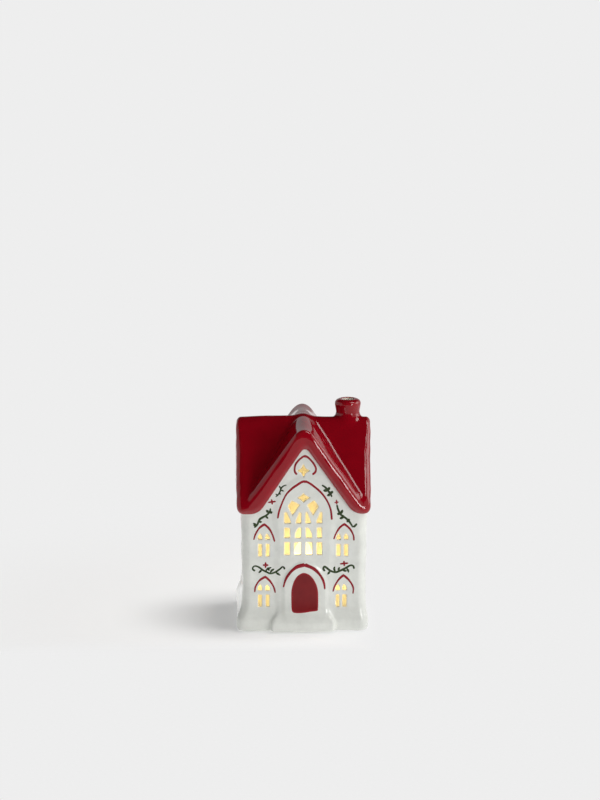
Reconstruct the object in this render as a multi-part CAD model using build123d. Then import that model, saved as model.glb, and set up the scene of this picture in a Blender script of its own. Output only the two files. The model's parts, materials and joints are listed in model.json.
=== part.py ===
"""Lit ceramic village house: a hollow glazed casting with pierced gothic windows, a cross-gabled roof with
an open chimney, and a battery light that plugs into a round hole in its base.

Millimetres. +Z is up, the door faces -Y, the chimney stands on the +X arm of the ridge.
The origin is the centre of the footprint on the surface that the house stands on.
"""

from build123d import *
import math
import os

os.makedirs("parts", exist_ok=True)

# ---------------------------------------------------------------- driving dimensions
PAD_T = 0.6                 # felt pads under the base
WALL_HALF = 42.7            # outer half width of the walls
WALL_T = 3.5                # cast wall thickness
WALL_CORNER_R = 5.0
EAVE_Z = 84.0               # lowest edge of the roof, at the four corners
WAIST_Z = 46.0              # where the walls start to spread towards the base
FLARE_Z = 24.0              # where the foot of the middle bay starts to flare out
FLOOR_TOP_Z = 8.0           # top of the cast floor
REBATE_Z = 4.2              # ceiling of the rebate that takes the light's flange
REBATE_R = 38.0
SOCKET_R = 33.0             # hole in the cast floor

ROOF_HALF = 45.7            # outer half width of the roof
ROOF_SLOPE = 1.37           # rise over run of the faces that meet in the ridge from front to back
ROOF_APEX = 146.9           # where they would meet if the ridge were sharp
RIDGE_R = 7.9               # ridge rounding
ARM_SLOPE = 1.20            # the same for the two arms of the cross, whose ridge runs from side to side
ARM_APEX = 145.5
ARM_R = 7.6
SOFFIT_SLOPE = 1.46         # rise over run of the white edge of the front and back gables
ARM_SOFFIT_SLOPE = 1.30     # and of the side gables
SOFFIT_APEX = 129.8
SOFFIT_R = 5.0
ROOF_SKIN = 7.4             # roof thickness, measured straight down

CHIMNEY_X = 30.8
CHIMNEY_Y = 4.0             # the pot stands a little behind the ridge
CHIMNEY_TOP = 153.4
FLUE_R = 4.2

BAY_Y = 43.7                # face of the middle bay, front and back
BAY_HALF = 19.6

# light unit
MZ = 1.6                    # underside of the light unit
CUP_R = 31.4
CUP_T = 1.6
FLANGE_R = 36.5
FLANGE_T = 2.2
PLATE_T = 2.0
DECK_Z = 19.2               # underside of the cover's deck
DECK_T = 2.0
POST_R = 5.0
LED_Z = 27.8                # underside of the LED's flange
LENS_TOP = 53.5
CELL_R = 5.25               # AAA cell
CELL_L = 43.3
CELL_Y = 5.5
NUB_R, NUB_L = 1.9, 1.2
POCKET_X, POCKET_Y = 26.2, 11.2
POCKET_TOP = 14.9
DOOR_T = 1.8
DOOR_HALF_X = 26.3
DOOR_HINGE_Y = 12.0
SWITCH_Y = 20.5
KNOB_TRAVEL = 2.0
SCREW_X, SCREW_Y = 17.5, 19.5


# ---------------------------------------------------------------- helpers
def prism_xz(points, y0, y1):
    """A polygon of (x, z) points, extruded from y0 to y1."""
    face = make_face(Polyline(*[(x, y0, z) for x, z in points], close=True))
    return extrude(face, amount=y1 - y0, dir=(0, 1, 0))


def solid_xz(edges, y0, y1):
    """A closed outline of edges drawn at y0, extruded to y1."""
    return extrude(make_face(edges), amount=y1 - y0, dir=(0, 1, 0))


def arch_xz(cx, half, z0, spring, apex, y0, y1):
    """A pointed-arch block: straight jambs from z0 to spring, then two arcs to the apex."""
    h = apex - spring
    c = (half * half - h * h) / (2 * half)          # arc centre, on the springing line
    r = half - c
    a = math.atan2(h, -c) / 2
    mx, mz = c + r * math.cos(a), spring + r * math.sin(a)
    edges = [
        Line((cx - half, y0, z0), (cx + half, y0, z0)),
        Line((cx + half, y0, z0), (cx + half, y0, spring)),
        ThreePointArc((cx + half, y0, spring), (cx + mx, y0, mz), (cx, y0, apex)),
        ThreePointArc((cx, y0, apex), (cx - mx, y0, mz), (cx - half, y0, spring)),
        Line((cx - half, y0, spring), (cx - half, y0, z0)),
    ]
    return solid_xz(edges, y0, y1)


def gable_xz(half, slope, apex, r, z0, y0, y1):
    """A gabled prism with a rounded ridge along Y: from z0 up to apex - slope * |x|, half wide."""
    s = math.sqrt(1 + slope * slope)
    tx = r * slope / s                               # where the ridge arc meets the slope
    tz = apex - slope * tx
    top = apex - r * (s - 1)
    ze = apex - slope * half
    edges = [
        Line((-half, y0, z0), (half, y0, z0)),
        Line((half, y0, ze), (tx, y0, tz)),
        ThreePointArc((tx, y0, tz), (0, y0, top), (-tx, y0, tz)),
        Line((-tx, y0, tz), (-half, y0, ze)),
    ]
    if ze - z0 > 1e-6:
        edges += [Line((half, y0, z0), (half, y0, ze)), Line((-half, y0, ze), (-half, y0, z0))]
    return solid_xz(edges, y0, y1)


def turned(shape, deg):
    return Rot(0, 0, deg) * shape


def block(x0, x1, y0, y1, z0, z1):
    return Pos((x0 + x1) / 2, (y0 + y1) / 2, (z0 + z1) / 2) * Box(x1 - x0, y1 - y0, z1 - z0)


def rod(x, y, z0, z1, r):
    return Pos(x, y, (z0 + z1) / 2) * Cylinder(r, z1 - z0)


def rod_x(x0, x1, y, z, r):
    return Pos((x0 + x1) / 2, y, z) * Rot(0, 90, 0) * Cylinder(r, x1 - x0)


def slab(half_x, half_y, corner, z0, z1):
    return Pos(0, 0, z0) * extrude(RectangleRounded(2 * half_x, 2 * half_y, corner), amount=z1 - z0)


def one(shape):
    """The shape as plain solids."""
    solids = shape.solids()
    return solids[0] if len(solids) == 1 else Compound(children=list(solids))


written = {}


def write(shape, name):
    shape = one(shape)
    written[name] = shape
    export_step(shape, f"parts/{name}.step")


# ---------------------------------------------------------------- windows, drawn on the front wall
Y_OUT, Y_IN = -50.0, -36.0


def small_window(cx, z0):
    """Two tall panes under two small tips, z0 at the sill of the tall panes."""
    out = []
    for s in (-1, 1):
        a, b = cx + s * 1.05, cx + s * 4.15
        out.append(prism_xz([(a, z0), (b, z0), (b, z0 + 9.0), (a, z0 + 9.0)], Y_OUT, Y_IN))
        out.append(prism_xz([(a, z0 + 11.8), (b, z0 + 11.8), (b - s * 0.3, z0 + 13.8),
                             (a + s * 1.0, z0 + 16.0), (a, z0 + 15.4)], Y_OUT, Y_IN))
    return out


def great_window(z0):
    """Four lights in three rows under two kites and a lozenge."""
    out = []
    for s in (-1, 1):
        i0, i1, o0, o1 = s * 1.45, s * 6.2, s * 8.9, s * 13.1
        out.append(prism_xz([(i0, z0), (i1, z0), (i1, z0 + 9.4), (i0, z0 + 9.4)], Y_OUT, Y_IN))
        out.append(prism_xz([(o0, z0), (o1, z0), (o1, z0 + 9.4), (o0, z0 + 9.4)], Y_OUT, Y_IN))
        out.append(prism_xz([(i0, z0 + 11.8), (i1, z0 + 11.8), (i1, z0 + 16.6), (i0 + s * 2.4, z0 + 19.4),
                             (i0, z0 + 19.4)], Y_OUT, Y_IN))
        out.append(prism_xz([(o0, z0 + 11.8), (o1, z0 + 11.8), (o1, z0 + 19.4), (o0, z0 + 19.4)], Y_OUT, Y_IN))
        out.append(prism_xz([(i0, z0 + 22.0), (s * 5.6, z0 + 22.0), (s * 5.6, z0 + 23.2), (s * 2.7, z0 + 29.6),
                             (i0, z0 + 29.0)], Y_OUT, Y_IN))
        out.append(prism_xz([(s * 9.0, z0 + 22.0), (o1, z0 + 22.0), (o1, z0 + 29.4), (s * 12.0, z0 + 29.8),
                             (s * 9.0, z0 + 23.4)], Y_OUT, Y_IN))
        out.append(prism_xz([(s * 7.3, z0 + 28.2), (s * 10.9, z0 + 33.6), (s * 7.6, z0 + 37.6),
                             (s * 3.4, z0 + 34.6)], Y_OUT, Y_IN))
    out.append(prism_xz([(0, z0 + 36.8), (4.1, z0 + 40.0), (0, z0 + 42.4), (-4.1, z0 + 40.0)], Y_OUT, Y_IN))
    return out


def star(zc):
    r, q = 3.6, 1.35
    pts = []
    for k in range(4):
        a = math.radians(90 * k)
        pts.append((r * math.cos(a), zc + r * math.sin(a)))
        b = a + math.radians(45)
        pts.append((q * math.cos(b), zc + q * math.sin(b)))
    return [prism_xz(pts, Y_OUT, Y_IN)]


def niches(y_face, depth):
    """Shallow arched recesses around the four small windows."""
    y1 = y_face + depth
    return [arch_xz(cx, 6.1, z0 - 1.6, z0 + 11.4, z0 + 20.4, Y_OUT, y1)
            for cx in (-27.0, 27.0) for z0 in (52.5, 17.0)]


SMALL = [w for cx in (-27.0, 27.0) for z0 in (52.5, 17.0) for w in small_window(cx, z0)]
STAR = star(113.5)

# ---------------------------------------------------------------- ceramic walls
base = loft([
    Pos(0, 0, PAD_T) * RectangleRounded(88.0, 88.0, 8.0),
    Pos(0, 0, 4.0) * RectangleRounded(89.0, 89.0, 8.0),
    Pos(0, 0, 13.0) * RectangleRounded(87.4, 87.4, 7.0),
    Pos(0, 0, FLARE_Z) * RectangleRounded(86.2, 86.2, 6.0),
    Pos(0, 0, WAIST_Z) * RectangleRounded(2 * WALL_HALF, 2 * WALL_HALF, WALL_CORNER_R),
], ruled=True)
walls = base + slab(WALL_HALF, WALL_HALF, WALL_CORNER_R, WAIST_Z, EAVE_Z)
for k, slope in enumerate((SOFFIT_SLOPE, ARM_SOFFIT_SLOPE) * 2):
    gable = gable_xz((SOFFIT_APEX - EAVE_Z) / slope, slope, SOFFIT_APEX, SOFFIT_R, EAVE_Z, -WALL_HALF, -WALL_HALF + WALL_T)
    walls = walls + turned(gable, 90 * k)

# middle bay with its spreading foot and a porch round the door
bay = arch_xz(0, BAY_HALF, FLARE_Z - 4, 80.0, 107.5, -BAY_Y, -WALL_HALF + 2.0)
foot = loft([
    Pos(0, -38.0, PAD_T) * RectangleRounded(43.6, 18.4, 2.0),
    Pos(0, -38.0, 5.0) * RectangleRounded(43.8, 19.4, 2.0),
    Pos(0, -38.0, 13.0) * RectangleRounded(41.0, 16.0, 2.0),
    Pos(0, -38.0, FLARE_Z) * RectangleRounded(2 * BAY_HALF, 2 * (BAY_Y - 38.0), 2.0),
], ruled=True)
porch = arch_xz(0, 15.2, 10.0, 31.0, 49.2, -BAY_Y - 1.0, -WALL_HALF + 2.0)
front = bay + foot + porch
walls = walls + front + turned(bay + foot, 180)

# inside: clear room, floor rebate and light socket
walls = walls - slab(WALL_HALF - WALL_T, WALL_HALF - WALL_T, 2.5, FLOOR_TOP_Z, 150.0)
walls = walls - rod(0, 0, 0, REBATE_Z, REBATE_R) - rod(0, 0, 0, FLOOR_TOP_Z + 1, SOCKET_R)

# relief and piercings
walls = walls - niches(-WALL_HALF, 0.8)
field = arch_xz(0, 16.2, 52.0, 79.0, 102.0, Y_OUT, -WALL_HALF - 0.3)
walls = walls - field - turned(field, 180)
walls = walls - arch_xz(0, 9.2, 13.4, 31.5, 41.6, Y_OUT, -BAY_Y + 0.1)
for k in (1, 2, 3):
    walls = walls - [turned(n, 90 * k) for n in niches(-WALL_HALF, 0.8)]
walls = walls - SMALL - great_window(54.4) - STAR
for k in (1, 2, 3):
    walls = walls - [turned(w, 90 * k) for w in SMALL + STAR]
write(walls, "house_walls")

# ---------------------------------------------------------------- roof
def cross(ridge, arm):
    """Two gabled prisms that cross: one with its ridge from front to back, the other's from side to side."""
    return ridge + turned(arm, 90)


def inner(slope, apex):
    return gable_xz(60.0, slope, apex - ROOF_SKIN, 5.0, apex - ROOF_SKIN - 60.0 * slope - 5.0, -60, 60)


def under(slope):
    return gable_xz((SOFFIT_APEX - EAVE_Z) / slope, slope, SOFFIT_APEX, SOFFIT_R, EAVE_Z, -60, 60)


roof_clip = slab(ROOF_HALF, ROOF_HALF, 4.0, EAVE_Z, 150.0)
roof_solid = cross(gable_xz(ROOF_HALF, ROOF_SLOPE, ROOF_APEX, RIDGE_R, EAVE_Z, -ROOF_HALF, ROOF_HALF),
                   gable_xz(ROOF_HALF, ARM_SLOPE, ARM_APEX, ARM_R, EAVE_Z, -ROOF_HALF, ROOF_HALF))
hollow = cross(inner(ROOF_SLOPE, ROOF_APEX), inner(ARM_SLOPE, ARM_APEX))
hollow = hollow & slab(WALL_HALF - WALL_T, WALL_HALF - WALL_T, 2.5, EAVE_Z - 5, 150.0)
flue = rod(CHIMNEY_X, CHIMNEY_Y, 100, 170, FLUE_R)
roof = (roof_solid & roof_clip) - under(SOFFIT_SLOPE) - turned(under(ARM_SOFFIT_SLOPE), 90) - hollow - flue
write(roof, "roof")

# chimney pot, standing astride the ridge
pot = [
    Line((0, 124), (12.2, 124)), Line((12.2, 124), (12.2, 135.5)),
    ThreePointArc((12.2, 135.5), (9.7, 139.9), (8.2, 144.4)),
    Line((8.2, 144.4), (9.0, 150.4)),
    ThreePointArc((9.0, 150.4), (8.5, 152.4), (6.8, CHIMNEY_TOP)),
    Line((6.8, CHIMNEY_TOP), (0, CHIMNEY_TOP)), Line((0, CHIMNEY_TOP), (0, 124)),
]
pot_face = make_face([Plane.XZ * e for e in pot])
chimney = Pos(CHIMNEY_X, CHIMNEY_Y, 0) * revolve(pot_face, Axis.Z)
chimney = chimney - roof_solid - flue
write(chimney, "chimney")

pads = [rod(sx * 36.5, sy * 36.5, 0, PAD_T, 4.0) for sx in (-1, 1) for sy in (-1, 1)]
write(Compound(children=[p.solids()[0] for p in pads]), "foot_pads")

# ---------------------------------------------------------------- light unit: housing with the battery well
plate_top = MZ + PLATE_T
housing = rod(0, 0, MZ, MZ + FLANGE_T, FLANGE_R) + rod(0, 0, MZ, DECK_Z, CUP_R)
housing = housing - rod(0, 0, plate_top, DECK_Z + 1, CUP_R - CUP_T)
well = block(-POCKET_X - 1.4, POCKET_X + 1.4, -POCKET_Y - 1.5, POCKET_Y + 1.5, plate_top, POCKET_TOP + 1.4)
housing = housing + (well & rod(0, 0, 0, 60, CUP_R - 0.2))
for sx in (-1, 1):
    for sy in (-1, 1):
        housing = housing + rod(sx * SCREW_X, sy * SCREW_Y, plate_top, 15.6, 3.0)
for sx in (-1, 1):
    housing = housing + rod(sx * 9.3, SWITCH_Y, plate_top, 8.2, 2.0)
housing = housing - block(-POCKET_X, POCKET_X, -POCKET_Y, POCKET_Y, plate_top - 0.1, POCKET_TOP)
aperture_y0, aperture_y1 = -12.9, DOOR_HINGE_Y + 0.9 + 0.2
housing = housing - block(-DOOR_HALF_X - 0.3, DOOR_HALF_X + 0.3, aperture_y0, aperture_y1, MZ - 1, plate_top)
hinge_z = MZ + DOOR_T / 2
housing = housing - rod_x(-28.2, 28.2, DOOR_HINGE_Y, hinge_z, 0.65)
housing = housing - block(-4.2, 4.2, SWITCH_Y - 1.6, SWITCH_Y + 1.6, MZ - 1, plate_top + 0.1)
for sx in (-1, 1):
    for sy in (-1, 1):
        housing = housing - rod(sx * SCREW_X, sy * SCREW_Y, MZ - 1, MZ + 2.6, 2.5)
        housing = housing - rod(sx * SCREW_X, sy * SCREW_Y, MZ, 17, 1.25)
    housing = housing - rod(sx * 9.3, SWITCH_Y, 4.4, 9, 0.85)
# slots that let the contact tabs up through the ceiling of the well
for y in (-CELL_Y, CELL_Y):
    housing = housing - block(-POCKET_X, -POCKET_X + 0.8, y - 1.6, y + 1.6, POCKET_TOP - 1, POCKET_TOP + 3)
# thumb notch beside the battery door
housing = housing - (Pos(0, -14.6, MZ - 1.4) * Sphere(3.0))
write(housing, "module_housing")

# cover with four screw bosses and the post that holds the LED
cover = rod(0, 0, DECK_Z, DECK_Z + DECK_T, CUP_R) + (rod(0, 0, DECK_Z - 2.2, DECK_Z, CUP_R - CUP_T - 0.15)
                                                     - rod(0, 0, DECK_Z - 3, DECK_Z, CUP_R - CUP_T - 1.6))
for sx in (-1, 1):
    for sy in (-1, 1):
        cover = cover + rod(sx * SCREW_X, sy * SCREW_Y, 15.65, DECK_Z, 3.0)
cover = cover + rod(0, 0, DECK_Z + DECK_T, LED_Z + 1.6, POST_R)
cover = cover - rod(0, 0, LED_Z, LED_Z + 3, 3.0) - rod(0, 0, DECK_Z - 1, LED_Z + 1, 2.3)
cover = cover - rod(0, 0, DECK_Z - 1, DECK_Z + DECK_T + 2.6, 4.0)
for sx in (-1, 1):
    for sy in (-1, 1):
        cover = cover - rod(sx * SCREW_X, sy * SCREW_Y, 15, DECK_Z + 0.8, 1.05)
write(cover, "module_cover")

# rubber ring that grips the socket
ring = rod(0, 0, MZ + FLANGE_T, 9.4, 32.95) + rod(0, 0, MZ + FLANGE_T, 4.12, 36.2)
ring = ring - rod(0, 0, 0, 20, CUP_R + 0.02)
write(ring, "grip_ring")

# frosted lens over the LED
skirt_z = DECK_Z + DECK_T
lens_mid = 36.0
bore_r = POST_R + 0.04


def bullet(a, top, nose_r):
    """Side arc, upright at (a, lens_mid), running smoothly into a round nose on the axis."""
    dz = top - nose_r - lens_mid
    side_r = (a * a + dz * dz - nose_r * nose_r) / (2 * (a - nose_r))
    cx = a - side_r
    ang = math.atan2(dz, -cx)
    join = (cx + side_r * math.cos(ang), lens_mid + side_r * math.sin(ang))
    mid = (cx + side_r * math.cos(ang / 2), lens_mid + side_r * math.sin(ang / 2))
    half = (ang + math.pi / 2) / 2
    nose = (nose_r * math.cos(half), top - nose_r + nose_r * math.sin(half))
    return join, mid, nose


join_o, mid_o, nose_o = bullet(8.1, LENS_TOP, 5.0)
join_i, mid_i, nose_i = bullet(6.9, LENS_TOP - 1.5, 3.8)
lens_edges = [
    Line((bore_r, skirt_z), (7.0, skirt_z)),
    Line((7.0, skirt_z), (7.0, skirt_z + 3.0)),
    ThreePointArc((7.0, skirt_z + 3.0), (7.82, 30.0), (8.1, lens_mid)),
    ThreePointArc((8.1, lens_mid), mid_o, join_o),
    ThreePointArc(join_o, nose_o, (0, LENS_TOP)),
    Line((0, LENS_TOP), (0, LENS_TOP - 1.5)),
    ThreePointArc((0, LENS_TOP - 1.5), nose_i, join_i),
    ThreePointArc(join_i, mid_i, (6.9, lens_mid)),
    Line((6.9, lens_mid), (6.5, LED_Z + 1.65)),
    Line((6.5, LED_Z + 1.65), (bore_r, LED_Z + 1.65)),
    Line((bore_r, LED_Z + 1.65), (bore_r, skirt_z)),
]
lens = revolve(make_face([Plane.XZ * e for e in lens_edges]), Axis.Z)
write(lens, "lens")

led = rod(0, 0, LED_Z, LED_Z + 1.0, 2.9) + rod(0, 0, LED_Z + 1.0, LED_Z + 6.1, 2.5) + (Pos(0, 0, LED_Z + 6.1) * Sphere(2.5))
write(led, "led")

# circuit board, resistor, switch
board = block(-12, 12, SWITCH_Y - 6, SWITCH_Y + 5.6, 8.2, 9.8)
board = board & rod(0, 0, 0, 30, CUP_R - CUP_T - 0.4)
for sx in (-1, 1):
    board = board - rod(sx * 9.3, SWITCH_Y, 8, 10, 1.1)
write(board, "circuit_board")
write(rod_x(-2.6, 2.6, SWITCH_Y - 4.2, 10.75, 0.9), "resistor")
switch_body = block(-4.3, 4.3, SWITCH_Y - 1.9, SWITCH_Y + 1.9, 4.6, 8.2)
switch_body = switch_body - block(-2.5, 2.5, SWITCH_Y - 1.0, SWITCH_Y + 1.0, 4, 6.4)
write(switch_body, "switch_body")
# the knob rests at its ON end, +X, and slides to -X
knob_x = KNOB_TRAVEL / 2
knob = block(knob_x - 1.2, knob_x + 1.2, SWITCH_Y - 0.85, SWITCH_Y + 0.85, MZ - 0.4, 6.2)
knob = knob + block(knob_x - 2.0, knob_x + 2.0, SWITCH_Y - 1.35, SWITCH_Y + 1.35, MZ - 0.9, MZ + 1.0)
for dx in (-1.2, 0.0, 1.2):
    knob = knob - block(knob_x + dx - 0.2, knob_x + dx + 0.2, SWITCH_Y - 2, SWITCH_Y + 2, MZ - 1.2, MZ - 0.5)
write(knob, "switch_knob")

# battery door: full-round hinge edge with two trunnions, latch lip on the far edge
door = block(-DOOR_HALF_X, DOOR_HALF_X, -12.6, DOOR_HINGE_Y, MZ, MZ + DOOR_T)
door = door + rod_x(-DOOR_HALF_X, DOOR_HALF_X, DOOR_HINGE_Y, hinge_z, DOOR_T / 2)
door = door + rod_x(-27.8, 27.8, DOOR_HINGE_Y, hinge_z, 0.6)
door = door + block(-4.0, 4.0, -12.82, -12.5, MZ + 0.9, MZ + DOOR_T)
for sx in (-1, 1):
    door = door - block(sx * 6.0 - 0.4, sx * 6.0 + 0.4, -13, -7.5, MZ - 1, MZ + 3)
for i in range(5):
    door = door - block(-3.5, 3.5, -11.6 + i * 0.9, -11.2 + i * 0.9, MZ - 1, MZ + 0.35)
write(door, "battery_door")

# cells, contacts, springs
cell_z = plate_top + 0.25 + CELL_R
cell_x0 = -POCKET_X + 0.5 + 1.7 + NUB_L
cell = rod_x(cell_x0, cell_x0 + CELL_L, CELL_Y, cell_z, CELL_R) + rod_x(cell_x0 - NUB_L, cell_x0, CELL_Y, cell_z, NUB_R)
cell = fillet(cell.edges().filter_by(GeomType.CIRCLE).filter_by(lambda e: abs(e.radius - CELL_R) < 1e-3), 0.7)
cell_b = Rot(0, 0, 180) * cell
write(Compound(children=[cell.solids()[0], cell_b.solids()[0]]), "batteries")

t = 0.5
dimple = rod_x(-POCKET_X + t, -POCKET_X + t + 1.7, CELL_Y, cell_z, 2.2)
positive = block(-POCKET_X, -POCKET_X + t, CELL_Y - 4.2, CELL_Y + 4.2, 5.2, 14.2)
tab = block(-POCKET_X, -POCKET_X + t, CELL_Y - 1.4, CELL_Y + 1.4, 14.2, 17.4)
write(positive + dimple + tab, "positive_contact")
negative = block(-POCKET_X, -POCKET_X + t, -CELL_Y - 4.2, -CELL_Y + 4.2, 5.2, 14.2)
write(negative + Pos(0, -2 * CELL_Y, 0) * tab, "negative_contact")
bridge = block(POCKET_X - t, POCKET_X, -CELL_Y - 4.2, CELL_Y + 4.2, 5.2, 14.2)
write(bridge + Rot(0, 0, 180) * dimple, "bridge_contact")

# coil springs against the flat ends of the cells
gap = (POCKET_X - t) - (cell_x0 + CELL_L)
wire_r = 0.36
coil_h = gap - 2 * wire_r - 0.04
coil_path = Helix(pitch=coil_h / 3.0, height=coil_h, radius=3.0)
coil = sweep(Plane(origin=coil_path @ 0, z_dir=coil_path % 0) * Circle(wire_r), path=coil_path, is_frenet=True)
coil_a = Pos(cell_x0 + CELL_L + wire_r + 0.02, CELL_Y, cell_z) * Rot(0, 90, 0) * coil
coil_b = Rot(0, 0, 180) * coil_a
write(Compound(children=[coil_a.solids()[0], coil_b.solids()[0]]), "battery_springs")


# insulated leads, straight runs joined by arcs
def lead(points, radii):
    path = FilletPolyline(*points, radius=radii)
    start = path @ 0
    return sweep(Plane(origin=start, z_dir=path % 0) * Circle(0.55), path=path).solids()[0]


red = [
    lead([(-25.1, 5.5, 16.95), (-20.5, 7.5, 17.5), (-12.0, 14.0, 17.2), (-7.4, 17.6, 14.2), (-7.0, 18.0, 9.85)],
         [2.0, 3.0, 2.0]),
    lead([(4.2, 24.0, 9.85), (4.2, 23.4, 14.0), (3.2, 18.0, 17.6), (1.3, 6.0, 17.5), (1.27, 0.0, 18.0), (1.27, 0.0, 27.7)],
         [2.5, 4.0, 3.0, 2.5]),
]
black = [
    lead([(-25.1, -5.5, 16.95), (-19.0, -4.0, 17.6), (-10.0, 3.0, 17.5), (-4.2, 13.0, 17.0), (-3.6, 15.6, 13.6), (-3.6, 15.8, 9.85)],
         [2.5, 4.0, 2.5, 1.5]),
    lead([(-4.2, 24.0, 9.85), (-4.2, 23.4, 14.0), (-3.2, 18.0, 17.6), (-1.3, 6.0, 17.5), (-1.27, 0.0, 18.0), (-1.27, 0.0, 27.7)],
         [2.5, 4.0, 3.0, 2.5]),
]
write(Compound(children=red), "red_leads")
write(Compound(children=black), "black_leads")

# fasteners
cover_screws, board_screws = [], []
for sx in (-1, 1):
    for sy in (-1, 1):
        x, y = sx * SCREW_X, sy * SCREW_Y
        s = rod(x, y, MZ + 0.9, MZ + 2.6, 2.2) + rod(x, y, MZ + 2.6, DECK_Z, 1.0)
        s = s - block(x - 1.5, x + 1.5, y - 0.25, y + 0.25, MZ, MZ + 1.6) - block(x - 0.25, x + 0.25, y - 1.5, y + 1.5, MZ, MZ + 1.6)
        cover_screws.append(s.solids()[0])
    x, y = sx * 9.3, SWITCH_Y
    s = rod(x, y, 9.8, 11.2, 1.8) + rod(x, y, 5.0, 9.8, 0.8)
    s = s - block(x - 1.2, x + 1.2, y - 0.22, y + 0.22, 10.5, 12) - block(x - 0.22, x + 0.22, y - 1.2, y + 1.2, 10.5, 12)
    board_screws.append(s.solids()[0])
write(Compound(children=cover_screws), "cover_screws")
write(Compound(children=board_screws), "board_screws")

for name, shape in written.items():
    print(name, len(shape.solids()), round(sum(s.volume for s in shape.solids()), 1))
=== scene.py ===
import json
import math

import bpy
import numpy as np
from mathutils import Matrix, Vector
from mathutils.bvhtree import BVHTree

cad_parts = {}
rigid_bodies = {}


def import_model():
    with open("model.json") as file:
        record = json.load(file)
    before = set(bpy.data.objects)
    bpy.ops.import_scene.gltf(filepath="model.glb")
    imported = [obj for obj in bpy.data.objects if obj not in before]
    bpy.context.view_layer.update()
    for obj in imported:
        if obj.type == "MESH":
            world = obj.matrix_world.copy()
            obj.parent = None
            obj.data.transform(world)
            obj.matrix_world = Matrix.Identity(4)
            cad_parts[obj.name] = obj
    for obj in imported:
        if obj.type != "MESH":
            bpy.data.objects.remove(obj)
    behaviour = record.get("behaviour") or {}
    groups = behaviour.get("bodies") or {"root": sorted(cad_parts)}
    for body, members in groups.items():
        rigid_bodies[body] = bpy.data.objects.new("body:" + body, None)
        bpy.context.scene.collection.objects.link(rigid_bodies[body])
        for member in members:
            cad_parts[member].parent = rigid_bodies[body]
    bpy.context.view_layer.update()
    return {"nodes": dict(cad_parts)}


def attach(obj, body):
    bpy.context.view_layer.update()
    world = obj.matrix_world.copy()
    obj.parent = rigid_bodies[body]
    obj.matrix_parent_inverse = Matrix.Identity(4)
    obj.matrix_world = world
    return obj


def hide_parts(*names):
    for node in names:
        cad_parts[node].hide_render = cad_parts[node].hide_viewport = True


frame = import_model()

MM = 0.001
F = np.float32

# =====================================================================================================
# Shape of the casting, as signed distances in millimetres. x right, y to the back, z up, door at -y.
# =====================================================================================================
EAVE_Z = 84.0
WALL_IN = 40.2
ROOF_HALF = 45.8
ROOF_SLOPE, ROOF_APEX, RIDGE_K = 1.38, 147.5, 13.0
ARM_SLOPE, ARM_APEX, ARM_K = 1.22, 146.0, 10.6
SOFFIT_X, SOFFIT_LEFT, SOFFIT_RIGHT, SOFFIT_APEX, SOFFIT_K = 0.5, 1.50, 1.42, 129.7, 5.0
ARM_SOFFIT = 1.30
ROOF_SKIN = 7.4
CHIMNEY_X, CHIMNEY_Y, CHIMNEY_TOP = 30.8, 4.0, 153.4
FLUE_R = 4.3


def smin(a, b, k):
    h = np.maximum(k - np.abs(a - b), 0) / k
    return np.minimum(a, b) - h * h * k * F(0.25)


def smax(a, b, k):
    h = np.maximum(k - np.abs(a - b), 0) / k
    return np.maximum(a, b) + h * h * k * F(0.25)


def round_max(a, b, r):
    """Where both hold, with the corner turned to a true radius."""
    return np.hypot(np.maximum(a + r, 0), np.maximum(b + r, 0)) + np.minimum(np.maximum(a, b), -r)


def step(v, lo, hi):
    t = np.clip((v - lo) / (hi - lo), 0, 1)
    return t * t * (3 - 2 * t)


def curve(z, pts):
    """A smooth profile through (z, value) pairs: monotone blends between the points."""
    zs, vs = [p[0] for p in pts], [p[1] for p in pts]
    t = np.interp(z, zs, np.arange(len(zs)))
    i = np.clip(np.floor(t).astype(int), 0, len(zs) - 2)
    f = t - i
    vs = np.asarray(vs)
    m = np.gradient(vs)
    h00, h10 = 2 * f**3 - 3 * f**2 + 1, f**3 - 2 * f**2 + f
    h01, h11 = -2 * f**3 + 3 * f**2, f**3 - f**2
    return (h00 * vs[i] + h10 * m[i] + h01 * vs[i + 1] + h11 * m[i + 1]).astype(F)


def waves(x, y, z, seed, wavelengths, amp):
    """Slow hand-made unevenness: a few plane waves."""
    rng = np.random.default_rng(seed)
    out = F(0)
    for w in wavelengths:
        d = rng.normal(size=3)
        d = d / np.linalg.norm(d) * (2 * math.pi / w)
        out = out + F(amp / len(wavelengths)) * np.sin(F(d[0]) * x + F(d[1]) * y + F(d[2]) * z + F(rng.uniform(0, 6.28)))
    return out


def rounded_square(x, y, half, r):
    qx, qy = np.abs(x) - (half - r), np.abs(y) - (half - r)
    return np.hypot(np.maximum(qx, 0), np.maximum(qy, 0)) + np.minimum(np.maximum(qx, qy), 0) - F(r)


def pointed(x, z, half, spring, apex, ref=None):
    """Pointed arch in the wall plane, open downwards: half wide below its springing, ref at it."""
    h = apex - spring
    ref = half if ref is None else ref
    c = (ref * ref - h * h) / (2 * ref)
    r = ref - c
    zz = np.maximum(z - F(spring), 0)
    arcs = np.maximum(np.hypot(x - F(c), zz), np.hypot(x + F(c), zz)) - F(r)
    return np.where(z > spring, arcs, np.abs(x) - half)


def gable(u, z, apex, slope, k):
    """Below a ridge with a rounded top: u runs across the ridge."""
    s = math.sqrt(1 + slope * slope)
    return smax((z - F(apex) + F(slope) * u) / F(s), (z - F(apex) - F(slope) * u) / F(s), F(k))


def soffit(u, z, rise=0.0, mid=SOFFIT_X, left=SOFFIT_LEFT, right=SOFFIT_RIGHT):
    """Under the roof's edge: at the front and back one side is a little steeper than the other."""
    sl, sr = math.hypot(1, left), math.hypot(1, right)
    h = z - F(SOFFIT_APEX + rise)
    return smax((h + F(right) * (u - F(mid))) / F(sr), (h - F(left) * (u - F(mid))) / F(sl), F(SOFFIT_K))


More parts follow.
